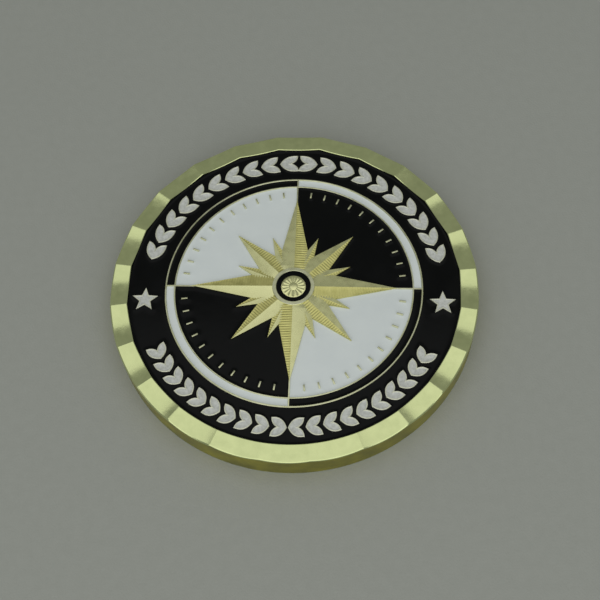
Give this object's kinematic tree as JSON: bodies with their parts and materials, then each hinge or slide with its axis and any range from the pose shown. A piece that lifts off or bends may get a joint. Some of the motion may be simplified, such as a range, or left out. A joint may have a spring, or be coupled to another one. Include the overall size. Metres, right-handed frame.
{
  "type": "challenge coin",
  "caption": "Round gold-plated medal with a diamond-cut scalloped rim, a raised compass rose, laurel leaves and black and white enamel fills.",
  "frame": {"origin": "centre of the underside, on the plane that the coin rests on", "axes": "+Z out of the enamelled face, +Y to the top of its design, +X to the right when the face is read upright"},
  "size_m": [0.0446, 0.0446, 0.004],
  "materials": {
    "gold_plate": "bright gold plating over struck metal, sandblasted flats and polished cut facets",
    "black_enamel": "glossy black soft enamel",
    "white_enamel": "glossy white soft enamel"
  },
  "bodies": {
    "root": {"struck_blank": "gold_plate", "legend_enamel": "black_enamel", "ring_enamel_ne": "white_enamel", "field_enamel_ne": "black_enamel", "ring_enamel_nw": "black_enamel", "field_enamel_nw": "white_enamel", "ring_enamel_sw": "white_enamel", "field_enamel_sw": "black_enamel", "ring_enamel_se": "black_enamel", "field_enamel_se": "white_enamel", "leaf_enamel_top_01": "white_enamel", "leaf_enamel_top_02": "white_enamel", "leaf_enamel_top_03": "white_enamel", "leaf_enamel_top_04": "white_enamel", "leaf_enamel_top_05": "white_enamel", "leaf_enamel_top_06": "white_enamel", "leaf_enamel_top_07": "white_enamel", "leaf_enamel_top_08": "white_enamel", "leaf_enamel_top_09": "white_enamel", "leaf_enamel_top_10": "white_enamel", "leaf_enamel_top_11": "white_enamel", "leaf_enamel_top_12": "white_enamel", "leaf_enamel_top_13": "white_enamel", "leaf_enamel_top_14": "white_enamel", "leaf_enamel_top_15": "white_enamel", "leaf_enamel_top_16": "white_enamel", "leaf_enamel_top_17": "white_enamel", "leaf_enamel_top_18": "white_enamel", "leaf_enamel_top_19": "white_enamel", "leaf_enamel_top_20": "white_enamel", "leaf_enamel_bottom_01": "white_enamel", "leaf_enamel_bottom_02": "white_enamel", "leaf_enamel_bottom_03": "white_enamel", "leaf_enamel_bottom_04": "white_enamel", "leaf_enamel_bottom_05": "white_enamel", "leaf_enamel_bottom_06": "white_enamel", "leaf_enamel_bottom_07": "white_enamel", "leaf_enamel_bottom_08": "white_enamel", "leaf_enamel_bottom_09": "white_enamel", "leaf_enamel_bottom_10": "white_enamel", "leaf_enamel_bottom_11": "white_enamel", "leaf_enamel_bottom_12": "white_enamel", "leaf_enamel_bottom_13": "white_enamel", "leaf_enamel_bottom_14": "white_enamel", "leaf_enamel_bottom_15": "white_enamel", "leaf_enamel_bottom_16": "white_enamel", "leaf_enamel_bottom_17": "white_enamel", "leaf_enamel_bottom_18": "white_enamel", "leaf_enamel_bottom_19": "white_enamel", "leaf_enamel_bottom_20": "white_enamel", "star_enamel_left": "white_enamel", "star_enamel_right": "white_enamel", "hub_enamel": "black_enamel"}
  },
  "joints": []
}
